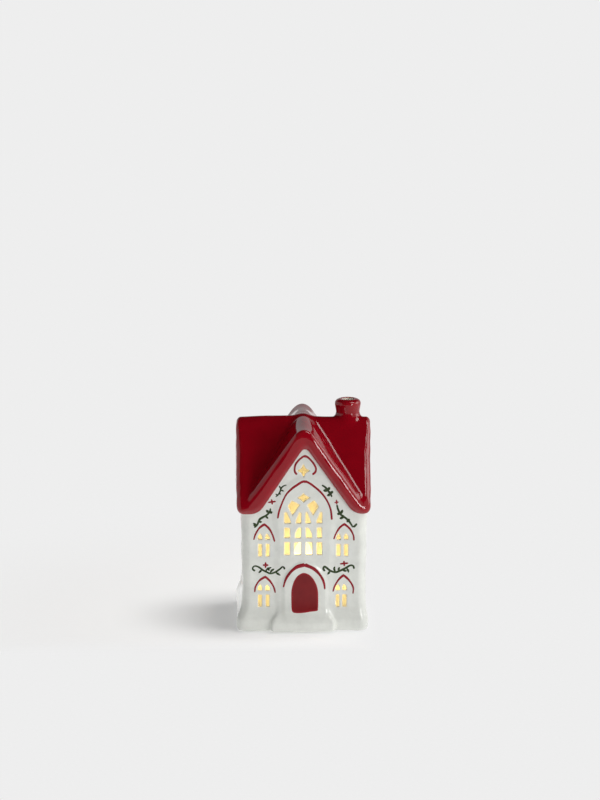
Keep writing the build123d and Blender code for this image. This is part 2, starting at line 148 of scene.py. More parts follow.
def arm_soffit(u, z, rise=0.0):
    return soffit(u, z, rise, 0.0, ARM_SOFFIT, ARM_SOFFIT)


HALF = [(0, 42.7), (1.5, 43.9), (4, 44.5), (8, 44.6), (10, 44.3), (13, 43.5), (17, 42.5), (22, 41.95), (30, 41.75), (41, 41.9), (48, 42.0), (56, 42.1), (70, 42.25), (140, 42.25)]
BAY_HALF = [(0, 18.6), (24, 18.6), (66, 18.8), (80, 20.6), (140, 20.6)]
FOOT_HALF = [(0, 21.5), (3, 22.0), (7, 21.9), (9.5, 20.8), (12.5, 18.6), (15, 17.2), (30, 17.2)]
FOOT_OUT = [(0, 47.6), (3, 48.3), (7, 48.2), (9.5, 47.4), (11.5, 46.2), (13.5, 44.8), (16, 43.4), (30, 42.0)]


def walls_skin(x, y, z):
    """Outer face of the walls, without the piercings."""
    ax, ay = np.abs(x), np.abs(y)
    bulge = F(0.5) * ((1 - (x / F(43)) ** 2) * (ay > ax) + (1 - (y / F(43)) ** 2) * (ax >= ay)) * step(z, 0, 30) * (1 - step(z, 85, 120))
    lean = F(1.1) * (1 - step(z, 8.0, 22.0))                                 # the base spreads a little more to the left
    d = rounded_square(x + lean, y, curve(z, HALF), 5.5) - bulge
    d = d - F(0.45) * step(ax, 31.5, 38.5) * step(ay, 31.5, 38.5)           # corner piers, worn soft
    bay = pointed(x - F(0.3), z, curve(z, BAY_HALF), 80.0, 109.5, 20.6)
    d = d - F(0.75) * (1 - step(bay, -2.4, 2.4)) * step(ay, 34.0, 39.0)
    porch = pointed(x - F(0.6), z, F(15.1), 31.0, 49.2)
    d = d - F(1.05) * (1 - step(porch, -1.7, 1.7)) * step(-y, 34.0, 39.0)
    foot = smax(np.abs(x + F(0.8)) - curve(z, FOOT_HALF), ay - curve(z, FOOT_OUT), F(2.6))
    foot = smax(foot, z - F(17.0), F(2.0))
    d = smin(d, foot, F(1.8))
    top = np.minimum(np.minimum(soffit(x, z, 1.8), arm_soffit(y, z, 1.8)), z - F(EAVE_Z + 1.4))
    d = np.maximum(d, top)
    d = smax(d, F(0.5) - z, F(1.6))
    return d + waves(x, y, z, 3, (31.0, 24.0, 38.0, 17.0, 21.0), 0.30)


def poly_dist(u, v, pts):
    """Signed distance, near enough, of a convex outline given anticlockwise or clockwise."""
    pts = np.asarray(pts, float)
    area = 0.5 * np.sum(pts[:, 0] * np.roll(pts[:, 1], -1) - np.roll(pts[:, 0], -1) * pts[:, 1])
    if area < 0:
        pts = pts[::-1]
    d = None
    for a, b in zip(pts, np.roll(pts, -1, axis=0)):
        e = b - a
        n = np.array([e[1], -e[0]]) / np.hypot(*e)
        k = F(n[0]) * (u - F(a[0])) + F(n[1]) * (v - F(a[1]))
        d = k if d is None else smax(d, k, F(0.5))
    return d


# openings: outline in the face's own (u, z), and the faces that have it (0 front, 1 right, 2 back, 3 left)
PANES = []


def pane(pts, faces):
    PANES.append((np.asarray(pts, float), faces))


def small_window(cols, z0, z1, tips, faces):
    """Two tall lights, and a small leaf-shaped one over each."""
    for (a, b), (tx, tz), s in zip(cols, tips, (-1, 1)):
        pane([(a, z0), (b, z0 - 0.1), (b + 0.05, z1), (a + 0.1, z1 + 0.1)], faces)
        pane([(tx - 1.45, tz - 2.0), (tx + 1.4, tz - 2.1), (tx + 1.45 + 0.05 * s, tz + 0.2), (tx - s * 0.35, tz + 2.3), (tx - 1.45, tz + 0.4)], faces)


small_window([(-31.4, -29.0), (-26.2, -23.9)], 52.9, 61.5, [(-30.2, 66.7), (-25.1, 66.7)], (0,))
small_window([(22.0, 24.7), (27.2, 29.9)], 53.0, 61.2, [(23.4, 66.5), (28.6, 66.6)], (0,))
small_window([(-31.6, -29.1), (-26.3, -23.9)], 17.6, 25.8, [(-30.3, 30.9), (-25.1, 30.8)], (0,))
small_window([(21.6, 24.0), (26.1, 28.9)], 17.3, 25.7, [(22.9, 30.8), (27.5, 30.9)], (0,))
for cx in (-27.0, 27.0):
    for z0 in (52.6, 16.8):
        small_window([(cx - 4.2, cx - 1.1), (cx + 1.0, cx + 4.2)], z0, z0 + 9.4, [(cx - 2.65, z0 + 14.2), (cx + 2.65, z0 + 14.2)], (1, 2, 3))

# great window
pane([(-13.5, 54.0), (-9.9, 54.0), (-9.9, 62.9), (-13.4, 63.0)], (0,))
pane([(-6.7, 54.0), (-2.4, 54.0), (-2.3, 63.0), (-6.7, 62.7)], (0,))
pane([(1.2, 54.0), (5.4, 54.0), (5.4, 62.8), (1.2, 63.0)], (0,))
pane([(8.6, 54.0), (12.1, 54.0), (12.1, 62.9), (8.5, 62.8)], (0,))
pane([(-13.6, 65.9), (-9.9, 65.9), (-9.8, 72.4), (-10.4, 73.1), (-13.5, 73.2)], (0,))
pane([(-6.2, 65.9), (-2.4, 65.9), (-2.2, 73.2), (-4.1, 73.0), (-6.0, 69.3)], (0,))
pane([(1.2, 65.9), (5.2, 65.9), (5.3, 68.6), (3.0, 73.1), (1.1, 73.2)], (0,))
pane([(8.8, 65.9), (11.9, 65.9), (11.9, 73.2), (8.8, 73.1)], (0,))
pane([(-13.7, 76.1), (-9.2, 76.1), (-9.2, 77.4), (-12.0, 84.1), (-13.5, 83.8)], (0,))
pane([(-5.7, 76.1), (-2.2, 76.1), (-2.2, 83.5), (-3.3, 84.1), (-5.7, 77.6)], (0,))
pane([(0.8, 76.1), (4.5, 76.1), (4.5, 77.2), (1.9, 84.1), (0.9, 83.5)], (0,))
pane([(8.5, 76.1), (12.2, 76.1), (12.2, 83.9), (11.1, 84.3), (8.4, 77.8)], (0,))
pane([(-11.2, 88.4), (-8.4, 92.1), (-3.0, 89.1), (-8.1, 81.6)], (0,))
pane([(1.9, 89.1), (6.7, 92.4), (9.9, 88.0), (6.0, 81.5)], (0,))
pane([(-5.0, 94.0), (-0.5, 96.3), (4.2, 94.1), (-0.5, 91.6)], (0,))
pane([(-3.1, 94.0), (-0.5, 97.2), (2.1, 94.1), (-0.5, 90.6)], (0,))
# star: two plump lozenges that cross
for f, cx, cz in (((0,), -0.5, 112.8), ((1, 2, 3), 0.0, 113.2)):
    pane([(cx - 4.5, cz), (cx, cz + 2.1), (cx + 4.5, cz), (cx, cz - 2.1)], f)
    pane([(cx - 2.1, cz), (cx, cz + 4.6), (cx + 2.1, cz), (cx, cz - 4.6)], f)


def face_uw(k, x, y):
    """(u, w) of a face: u along it to the right as seen from outside, w outwards."""
    return ((x, -y), (y, x), (-x, y), (-y, -x))[k]


def walls_hollow(x, y, z, d):
    """Takes out the room, the light's socket and its rebate."""
    room = smax(rounded_square(x, y, F(WALL_IN), 2.5), F(8.0) - z, F(1.0))
    d = smax(d, -room, F(0.6))
    r = np.hypot(x, y)
    d = smax(d, F(33.0) - np.maximum(r, (z - F(12.0)) * F(10)), F(0.4))
    return smax(d, -np.maximum(r - F(38.0), z - F(4.2)), F(0.4))


def walls(x, y, z):
    """Whole wall casting at scattered points (flat arrays)."""
    d = walls_hollow(x, y, z, walls_skin(x, y, z))
    for pts, faces in PANES:
        lo, hi = pts.min(0) - 2.0, pts.max(0) + 2.0
        for k in faces:
            u, w = face_uw(k, x, y)
            m = np.flatnonzero((u > lo[0]) & (u < hi[0]) & (z > lo[1]) & (z < hi[1]) & (w > 37.0))
            if len(m):
                d[m] = smax(d[m], -poly_dist(u[m], z[m], pts), F(0.7))
    return d


def walls_grid(h):
    gx = np.arange(-49.0, 49.0 + h, h, dtype=F)
    gy = np.arange(-49.4, 49.4 + h, h, dtype=F)
    gz = np.arange(-1.0, 134.0 + h, h, dtype=F)
    x, y, z = gx[:, None, None], gy[None, :, None], gz[None, None, :]
    d = np.ascontiguousarray(walls_hollow(x, y, z, walls_skin(x, y, z)), dtype=F)
    for pts, faces in PANES:
        lo, hi = pts.min(0) - 2.0, pts.max(0) + 2.0
        for k in faces:
            axis_u, axis_w = ((gx, gy), (gy, gx), (gx, gy), (gy, gx))[k]
            su = (1, 1, -1, -1)[k]
            sw = (-1, 1, 1, -1)[k]
            iu = np.flatnonzero((su * axis_u > lo[0]) & (su * axis_u < hi[0]))
            iw = np.flatnonzero(sw * axis_w > 37.0)
            iz = np.flatnonzero((gz > lo[1]) & (gz < hi[1]))
            su_, sw_, sz_ = slice(iu[0], iu[-1] + 1), slice(iw[0], iw[-1] + 1), slice(iz[0], iz[-1] + 1)
            p = poly_dist((su * axis_u[su_])[:, None], gz[sz_][None, :], pts)
            if k in (0, 2):
                d[su_, sw_, sz_] = smax(d[su_, sw_, sz_], -p[:, None, :], F(0.7))
            else:
                d[sw_, su_, sz_] = smax(d[sw_, su_, sz_], -p[None, :, :], F(0.7))
    return d, (gx[0], gy[0], gz[0])


POT = [(110, 11.0), (132, 11.0), (136, 10.5), (139, 9.7), (141, 9.1), (142.2, 8.6), (143.2, 8.3), (144.0, 8.1), (145.2, 8.2), (147, 8.5), (149.5, 8.9), (151.4, 9.1), (153, 9.05), (157, 9.0)]
ROLL_R = 5.0


def roof_hollow(x, y, z):
    inside = np.minimum(gable(x, z, ROOF_APEX - ROOF_SKIN - 0.7, ROOF_SLOPE, 6.0), gable(y, z, ARM_APEX - ROOF_SKIN - 0.5, ARM_SLOPE, 6.0))
    return smax(inside, rounded_square(x, y, F(WALL_IN), 2.5), F(1.0))


def roof(x, y, z):
    """Cross-gabled roof with thick rolled edges, hollow inside, and the chimney pot on its right arm."""
    rise_x = F(1.1) * step(x, -52.0, -4.0) * (1 - step(x, -4.0, 20.0))       # the ridges sag a little towards their ends
    rise_y = F(1.7) * (1 - step(np.abs(y), 2.0, 38.0))
    wob = waves(x, y, z, 11, (26.0, 19.0, 33.0, 23.0), 0.22)
    gx = gable(x, z - rise_y, ROOF_APEX, ROOF_SLOPE, RIDGE_K) + F(0.3) + wob
    gy = gable(y, z - rise_x, ARM_APEX, ARM_SLOPE, ARM_K) + F(0.3) + wob
    d = smin(gx, gy, F(3.1))
    out = F(0.45) * np.clip((z - F(112)) / F(28), -1, 1) * step(x, -10.0, 10.0)      # the right edge leans out towards the ridge
    plan = rounded_square(x + F(0.2) - out, y, F(ROOF_HALF + 0.2), 5.0) + waves(x, y, z, 5, (23.0, 17.0, 9.0, 7.0), 0.30)
    d = round_max(d, plan, F(ROLL_R) - F(1.8) * step(z, 118.0, 138.0))
    under = smin(soffit(x, z), arm_soffit(y, z), F(0.5))
    under = smin(under, z - F(EAVE_Z - 1.6), F(5.0))
    d = smax(d, -under, F(5.0))
    r = np.hypot(x - F(CHIMNEY_X), y - F(CHIMNEY_Y))
    pot = smax((r - curve(z, POT)) * F(0.9), z - F(CHIMNEY_TOP), F(4.2))
    pot = np.maximum(pot, F(131.0) - z)
    d = smin(d, pot, F(2.0))
    d = smax(d, -roof_hollow(x, y, z), F(0.8))
    return smax(d, -np.maximum(r - F(FLUE_R), F(120.0) - z), F(1.0))


def roof_grid(h):
    gx = np.arange(-48.4, 48.4 + h, h, dtype=F)
    gy = np.arange(-48.4, 48.4 + h, h, dtype=F)
    gz = np.arange(78.0, 156.0 + h, h, dtype=F)
    x, y, z = gx[:, None, None], gy[None, :, None], gz[None, None, :]
    return np.ascontiguousarray(roof(x, y, z), dtype=F), (gx[0], gy[0], gz[0])


def surface_nets(d, origin, h):
    """Quads on the zero surface of a grid of distances."""
    inside = d < 0
    n = [s - 1 for s in d.shape]
    count = np.zeros(n, np.uint8)
    for i in (0, 1):
        for j in (0, 1):
            for k in (0, 1):
                count += inside[i:i + n[0], j:j + n[1], k:k + n[2]]
    active = (count > 0) & (count < 8)
    cells = np.argwhere(active)
    index = np.full(n, -1, np.int32)
    index[active] = np.arange(len(cells), dtype=np.int32)
    corner = np.array([[i, j, k] for i in (0, 1) for j in (0, 1) for k in (0, 1)])
    vals = np.stack([d[cells[:, 0] + c[0], cells[:, 1] + c[1], cells[:, 2] + c[2]] for c in corner], 1)
    total, hits = np.zeros((len(cells), 3)), np.zeros(len(cells))
    for a in range(8):
        for b in range(a + 1, 8):
            if np.abs(corner[a] - corner[b]).sum() != 1:
                continue
            fa, fb = vals[:, a], vals[:, b]
            m = (fa < 0) != (fb < 0)
            t = fa[m] / (fa[m] - fb[m])
            total[m] += corner[a] + t[:, None] * (corner[b] - corner[a])
            hits[m] += 1
    verts = np.asarray(origin) + h * (cells + total / hits[:, None])
    quads = []
    for axis in range(3):
        sl = [slice(1, s - 1) for s in d.shape]
        lo, hi = list(sl), list(sl)
        lo[axis], hi[axis] = slice(0, d.shape[axis] - 1), slice(1, d.shape[axis])
        a, b = inside[tuple(lo)], inside[tuple(hi)]
        e = np.argwhere(a != b)
        flip = a[a != b]
        e = e + np.array([0 if i == axis else 1 for i in range(3)])
        u, v = [(1, 2), (2, 0), (0, 1)][axis]
        du, dv = np.eye(3, dtype=int)[u], np.eye(3, dtype=int)[v]
        q = [index[tuple((e - p).T)] for p in (du + dv, dv, 0 * du, du)]
        q = np.stack(q, 1)
        q[~flip] = q[~flip][:, ::-1]
        quads.append(q)
    return verts, np.concatenate(quads)


def gradient(func, p, e):
    p = p.astype(F)
    g = np.empty_like(p)
    for i in range(3):
        a, b = p.copy(), p.copy()
        a[:, i] += F(e)
        b[:, i] -= F(e)
        g[:, i] = func(a[:, 0], a[:, 1], a[:, 2]) - func(b[:, 0], b[:, 1], b[:, 2])
    return g / np.maximum(np.linalg.norm(g, axis=1, keepdims=True), 1e-9)


def edgeness(func, p, radius):
    """How far the surface bulges (+) or hollows (-) around each point."""
    t = (1 + 5**0.5) / 2
    dirs = np.array([(0, s1, s2 * t) for s1 in (-1, 1) for s2 in (-1, 1)])
    dirs = np.concatenate([dirs, np.roll(dirs, 1, axis=1), np.roll(dirs, 2, axis=1)])
    dirs = dirs / np.linalg.norm(dirs[0]) * radius
    out = np.zeros(len(p), F)
    for v in dirs:
        q = (p + v).astype(F)
        out += func(q[:, 0], q[:, 1], q[:, 2])
    return out / len(dirs) / radius


def mesh_object(name, verts_mm, faces, mats, smooth=True):
    mesh = bpy.data.meshes.new(name)
    mesh.from_pydata((np.asarray(verts_mm) * MM).tolist(), [], faces.tolist() if hasattr(faces, "tolist") else faces)
    mesh.update()
    for m in mats:
        mesh.materials.append(m)
    if smooth:
        mesh.polygons.foreach_set("use_smooth", np.ones(len(mesh.polygons), bool))
    o = bpy.data.objects.new(name, mesh)
    bpy.context.scene.collection.objects.link(o)
    return o


def walls_inner(p):
    """1 on faces of the room, 0 on faces that are seen from outside."""
    x, y, z = p[:, 0], p[:, 1], p[:, 2]
    return 1 - step(smax(rounded_square(x, y, F(WALL_IN), 2.5), F(7.0) - z, F(1.0)), 0.5, 1.1)


def roof_inner(p):
    x, y, z = p[:, 0], p[:, 1], p[:, 2]
    room = 1 - step(roof_hollow(x, y, z), 0.5, 1.1)
    flue = (1 - step(np.hypot(x - F(CHIMNEY_X), y - F(CHIMNEY_Y)) - F(FLUE_R), 0.25, 0.7)) * (1 - step(z, CHIMNEY_TOP - 0.9, CHIMNEY_TOP - 0.4))
    return np.maximum(room, flue)


def cast_object(name, func, inner, grid, h, mats, ratio, edge_radius):
    """A casting from its distances: surface, thinned out where it is flat, with true normals and an edge map."""
    d, origin = grid(h)
    verts, quads = surface_nets(d, origin, h)
    o = mesh_object(name, verts, quads, mats)
    if ratio < 1:
        mod = o.modifiers.new("thin", "DECIMATE")
        mod.ratio = ratio
        dep = bpy.context.evaluated_depsgraph_get()
        thin = bpy.data.meshes.new_from_object(o.evaluated_get(dep))
        o.modifiers.clear()
        old = o.data
        o.data = thin
        thin.name = name
        bpy.data.meshes.remove(old)
    mesh = o.data
    co = np.empty(len(mesh.vertices) * 3, F)
    mesh.vertices.foreach_get("co", co)
    p = co.reshape(-1, 3) / F(MM)
    for _ in range(2):
        g = gradient(func, p, 0.12)
        p = p - g * np.clip(func(p[:, 0].copy(), p[:, 1].copy(), p[:, 2].copy()), -0.3, 0.3)[:, None]
    mesh.vertices.foreach_set("co", (p * F(MM)).ravel())
    edge = edgeness(func, p, edge_radius)
    att = mesh.attributes.new("edge", "FLOAT", "POINT")
    att.data.foreach_set("value", edge.astype(F))
    att = mesh.attributes.new("inner", "FLOAT", "POINT")
    att.data.foreach_set("value", inner(p).astype(F))
    mesh.polygons.foreach_set("use_smooth", np.ones(len(mesh.polygons), bool))
    mesh.update()
    normals = gradient(func, p, 0.22)
    mesh.normals_split_custom_set_from_vertices(normals.tolist())
    return o, p, edge


# =====================================================================================================
# Materials
# =====================================================================================================
def new_material(name):
    m = bpy.data.materials.new(name)
    m.use_nodes = True
    nt = m.node_tree
    nt.nodes.clear()
    out = nt.nodes.new("ShaderNodeOutputMaterial")
    bsdf = nt.nodes.new("ShaderNodeBsdfPrincipled")
    nt.links.new(bsdf.outputs[0], out.inputs[0])
    return m, nt, bsdf


def node(nt, kind, **values):
    n = nt.nodes.new(kind)
    for k, v in values.items():
        setattr(n, k, v)
    return n


def noise(nt, scale, detail=3.0, rough=0.55, coords=None):
    n = nt.nodes.new("ShaderNodeTexNoise")
    n.inputs["Scale"].default_value = scale
    n.inputs["Detail"].default_value = detail
    n.inputs["Roughness"].default_value = rough
    if coords is not None:
        nt.links.new(coords, n.inputs["Vector"])
    return n


def ramp(nt, source, stops):
    r = nt.nodes.new("ShaderNodeValToRGB")
    while len(r.color_ramp.elements) > 1:
        r.color_ramp.elements.remove(r.color_ramp.elements[-1])
    for i, (pos, col) in enumerate(stops):
        e = r.color_ramp.elements[0] if i == 0 else r.color_ramp.elements.new(pos)
        e.position = pos
        e.color = (*col, 1.0) if len(col) == 3 else col
    nt.links.new(source, r.inputs["Fac"])
    return r


def map_range(nt, source, a, b, c=0.0, d=1.0):
    n = nt.nodes.new("ShaderNodeMapRange")
    n.inputs["From Min"].default_value, n.inputs["From Max"].default_value = a, b
    n.inputs["To Min"].default_value, n.inputs["To Max"].default_value = c, d
    nt.links.new(source, n.inputs["Value"])
    return n


def mix(nt, fac, a, b, mode="MIX"):
    n = nt.nodes.new("ShaderNodeMix")
    n.data_type = "RGBA"
    n.blend_type = mode
    for sock, v in ((n.inputs["Factor"], fac), (n.inputs[6], a), (n.inputs[7], b)):
        if hasattr(v, "is_output"):
            nt.links.new(v, sock)
        elif isinstance(v, (int, float)):
            sock.default_value = v
        else:
            sock.default_value = (*v, 1.0)
    return n.outputs[2]


def bump(nt, bsdf, height, strength, distance):
    b = nt.nodes.new("ShaderNodeBump")
    b.inputs["Strength"].default_value = strength
    b.inputs["Distance"].default_value = distance
    nt.links.new(height, b.inputs["Height"])
    nt.links.new(b.outputs[0], bsdf.inputs["Normal"])
    return b


def obj_coords(nt):
    return nt.nodes.new("ShaderNodeTexCoord").outputs["Object"]


def edge_attr(nt):
    a = nt.nodes.new("ShaderNodeAttribute")
    a.attribute_name = "edge"
    return a.outputs["Fac"]


def maths(nt, op, *args):
    n = nt.nodes.new("ShaderNodeMath")
    n.operation = op
    for sock, v in zip(n.inputs, args):
        if hasattr(v, "is_output"):
            nt.links.new(v, sock)
        else:
            sock.default_value = v
    return n.outputs[0]


def glaze(name, body, thin, pool, rough, edge_lo, edge_hi, speckle, coat=0.6):
    """Fired glaze: its body colour, worn thin over edges, deeper where it pools in hollows, with a faint orange-peel."""
    m, nt, b = new_material(name)
    co = obj_coords(nt)
    e = edge_attr(nt)
    drift = noise(nt, 45.0, 3.0, 0.5, co)
    wob = nt.nodes.new("ShaderNodeMath")
    wob.operation = "MULTIPLY_ADD"
    wob.inputs[1].default_value = 0.10
    nt.links.new(drift.outputs["Fac"], wob.inputs[0])
    nt.links.new(e, wob.inputs[2])
    thin_f = map_range(nt, wob.outputs[0], edge_lo + 0.05, edge_hi + 0.05)
    pool_f = map_range(nt, wob.outputs[0], -0.02, -0.16)
    col = mix(nt, thin_f.outputs[0], body, thin)
    col = mix(nt, pool_f.outputs[0], col, pool)
    clouds = noise(nt, 120.0, 4.0, 0.6, co)
    cl = ramp(nt, clouds.outputs["Fac"], [(0.3, (0.93, 0.93, 0.93)), (0.7, (1.05, 1.05, 1.05))])
    col = mix(nt, 1.0, col, cl.outputs[0], "MULTIPLY")
    spk = noise(nt, 1500.0, 1.0, 0.4, co)
    sp = map_range(nt, spk.outputs["Fac"], 0.73, 0.80, 0.0, speckle)
    col = mix(nt, sp.outputs[0], col, (0.06, 0.045, 0.04))
    inn = nt.nodes.new("ShaderNodeAttribute")
    inn.attribute_name = "inner"
    slip = ramp(nt, clouds.outputs["Fac"], [(0.3, (0.91, 0.89, 0.83)), (0.7, (0.95, 0.93, 0.88))])
    col = mix(nt, inn.outputs["Fac"], col, slip.outputs[0])
    nt.links.new(col, b.inputs["Base Color"])
    rr = ramp(nt, noise(nt, 260.0, 3.0, 0.5, co).outputs["Fac"], [(0.25, (rough * 0.75,) * 3), (0.75, (rough * 1.35,) * 3)])
    nt.links.new(rr.outputs[0], b.inputs["Roughness"])
    b.inputs["IOR"].default_value = 1.52
    b.inputs["Coat Weight"].default_value = coat
    b.inputs["Coat Roughness"].default_value = 0.03
    b.inputs["Coat IOR"].default_value = 1.5
    bump(nt, b, noise(nt, 330.0, 2.0, 0.5, co).outputs["Fac"], 0.10, 0.0004)
    return m


def paint(name, dark, light, rough, rim=None, grain=420.0, relief=0.06):
    """Brushed underglaze colour: streaky, with thin and thick places, brighter along a rim if it has one."""
    m, nt, b = new_material(name)
    co = obj_coords(nt)
    streak = noise(nt, grain, 4.0, 0.6, co)
    broad = noise(nt, 110.0, 2.0, 0.5, co)
    s = nt.nodes.new("ShaderNodeMath")
    s.operation = "ADD"
    nt.links.new(streak.outputs["Fac"], s.inputs[0])
    nt.links.new(broad.outputs["Fac"], s.inputs[1])
    col = ramp(nt, map_range(nt, s.outputs[0], 0.7, 1.3).outputs[0], [(0.0, dark), (1.0, light)]).outputs[0]
    if rim:
        a = nt.nodes.new("ShaderNodeAttribute")
        a.attribute_name = "rim"
        col = mix(nt, a.outputs["Fac"], col, rim)
    nt.links.new(col, b.inputs["Base Color"])
    r = ramp(nt, streak.outputs["Fac"], [(0.3, (rough * 0.8,) * 3), (0.7, (rough * 1.3,) * 3)])
    nt.links.new(r.outputs[0], b.inputs["Roughness"])
    b.inputs["Specular IOR Level"].default_value = 0.28
    bump(nt, b, broad.outputs["Fac"], relief, 0.0002)
    return m


def plain(name, dark, light, scale, rough, metallic=0.0, bump_strength=0.12, bump_scale=900.0):
    """Moulded plastic, rubber, felt or plated metal: two near tones, a fine texture and uneven roughness."""
    m, nt, b = new_material(name)
    co = obj_coords(nt)
    n = noise(nt, scale, 4.0, 0.55, co)
    c = ramp(nt, n.outputs["Fac"], [(0.3, dark), (0.7, light)])
    nt.links.new(c.outputs[0], b.inputs["Base Color"])
    r = ramp(nt, noise(nt, scale * 2.3, 2.0, 0.5, co).outputs["Fac"], [(0.3, (rough * 0.8,) * 3), (0.7, (min(1.0, rough * 1.2),) * 3)])
    nt.links.new(r.outputs[0], b.inputs["Roughness"])
    b.inputs["Metallic"].default_value = metallic
    bump(nt, b, noise(nt, bump_scale, 2.0, 0.5, co).outputs["Fac"], bump_strength, 0.0002)
    return m


def glowing(name, core, rim, strength, z0, z1, low, pale=False):
    """Milky or frosted plastic given its own emission: the lamp's lens, or a painted glow on a shell that is no lamp.
    Dim below z0, full from z1 up.
    """
    m, nt, b = new_material(name)
    tc = obj_coords(nt)
    sep = nt.nodes.new("ShaderNodeSeparateXYZ")
    nt.links.new(tc, sep.inputs[0])
    h = map_range(nt, sep.outputs["Z"], z0, z1)
    n = noise(nt, 900.0, 2.0, 0.5, tc)
    c = ramp(nt, h.outputs[0], [(0.0, rim), (1.0, core)])
    if pale:
        p = ramp(nt, noise(nt, 160.0, 4.0, 0.55, tc).outputs["Fac"], [(0.3, (0.74, 0.73, 0.70)), (0.7, (0.82, 0.81, 0.78))])
        nt.links.new(p.outputs[0], b.inputs["Base Color"])
    else:
        nt.links.new(c.outputs[0], b.inputs["Base Color"])
    nt.links.new(c.outputs[0], b.inputs["Emission Color"])
    s = map_range(nt, h.outputs[0], 0.0, 1.0, strength * low, strength)
    nt.links.new(s.outputs[0], b.inputs["Emission Strength"])
    r = ramp(nt, n.outputs["Fac"], [(0.3, (0.35,) * 3), (0.7, (0.5,) * 3)])
    nt.links.new(r.outputs[0], b.inputs["Roughness"])
    bump(nt, b, n.outputs["Fac"], 0.08, 0.0002)
    return m


WHITE = glaze("white_glaze", (0.80, 0.815, 0.765), (0.83, 0.835, 0.79), (0.74, 0.765, 0.70), 0.16, 0.05, 0.25, 0.2, 0.0)
RED = glaze("red_glaze", (0.29, 0.0012, 0.008), (0.34, 0.016, 0.020), (0.16, 0.0008, 0.005), 0.07, 0.05, 0.25, 0.2, 0.0)
LINE_RED = paint("line_red", (0.235, 0.006, 0.014), (0.36, 0.014, 0.026), 0.32)
LEAF_GREEN = paint("leaf_green", (0.023, 0.036, 0.010), (0.044, 0.080, 0.026), 0.35)
DOOR_RED = paint("door_red", (0.180, 0.006, 0.009), (0.215, 0.010, 0.012), 0.36, (0.36, 0.016, 0.025), 240.0, 0.008)

# =====================================================================================================
# Castings
# =====================================================================================================
STEP_MM = 0.55
walls_obj, walls_p, walls_e = cast_object("walls_casting", walls, walls_inner, walls_grid, STEP_MM, [WHITE], 0.30, 1.0)
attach(walls_obj, "house")
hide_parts("house_walls")
roof_obj, roof_p, roof_e = cast_object("roof_casting", roof, roof_inner, roof_grid, STEP_MM, [RED], 0.45, 1.6)
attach(roof_obj, "house")
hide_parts("roof", "chimney")
print("walls", len(walls_obj.data.polygons), "roof", len(roof_obj.data.polygons), "edge", float(walls_e.min()), float(walls_e.max()), float(roof_e.min()), float(roof_e.max()))


# =====================================================================================================
# Painted lines: closed strokes that lie on the wall
# =====================================================================================================
def front_y(x, z):
    """Where the front face of the wall is."""
    x, z = np.asarray(x, F), np.asarray(z, F)
    y = np.full_like(x, -50.0)
    for _ in range(60):
        y = y + np.clip(walls_skin(x, y, z), -1, 1) * F(0.8)
    return y


def smooth_path(pts, step_mm=0.45):
    """Catmull-Rom through the points, evenly spaced."""
    p = np.asarray(pts, float)
    if len(p) == 2:
        n = max(4, int(np.linalg.norm(p[1] - p[0]) / step_mm))
        return p[0] + (p[1] - p[0]) * np.linspace(0, 1, n)[:, None]
    ext = np.vstack([2 * p[0] - p[1], p, 2 * p[-1] - p[-2]])
    out = []
    for i in range(1, len(ext) - 2):
        a, b, c, d = ext[i - 1], ext[i], ext[i + 1], ext[i + 2]
        t = np.linspace(0, 1, 24, endpoint=False)[:, None]
        out.append(0.5 * (2 * b + (c - a) * t + (2 * a - 5 * b + 4 * c - d) * t**2 + (3 * b - a - 3 * c + d) * t**3))
    out = np.vstack(out + [p[-1:]])
    s = np.concatenate([[0], np.cumsum(np.linalg.norm(np.diff(out, axis=0), axis=1))])
    n = max(6, int(s[-1] / step_mm))
    q = np.linspace(0, s[-1], n)
    return np.stack([np.interp(q, s, out[:, 0]), np.interp(q, s, out[:, 1])], 1)


WALL_TREE = BVHTree.FromPolygons([tuple(v) for v in walls_p.tolist()], [tuple(q.vertices) for q in walls_obj.data.polygons])


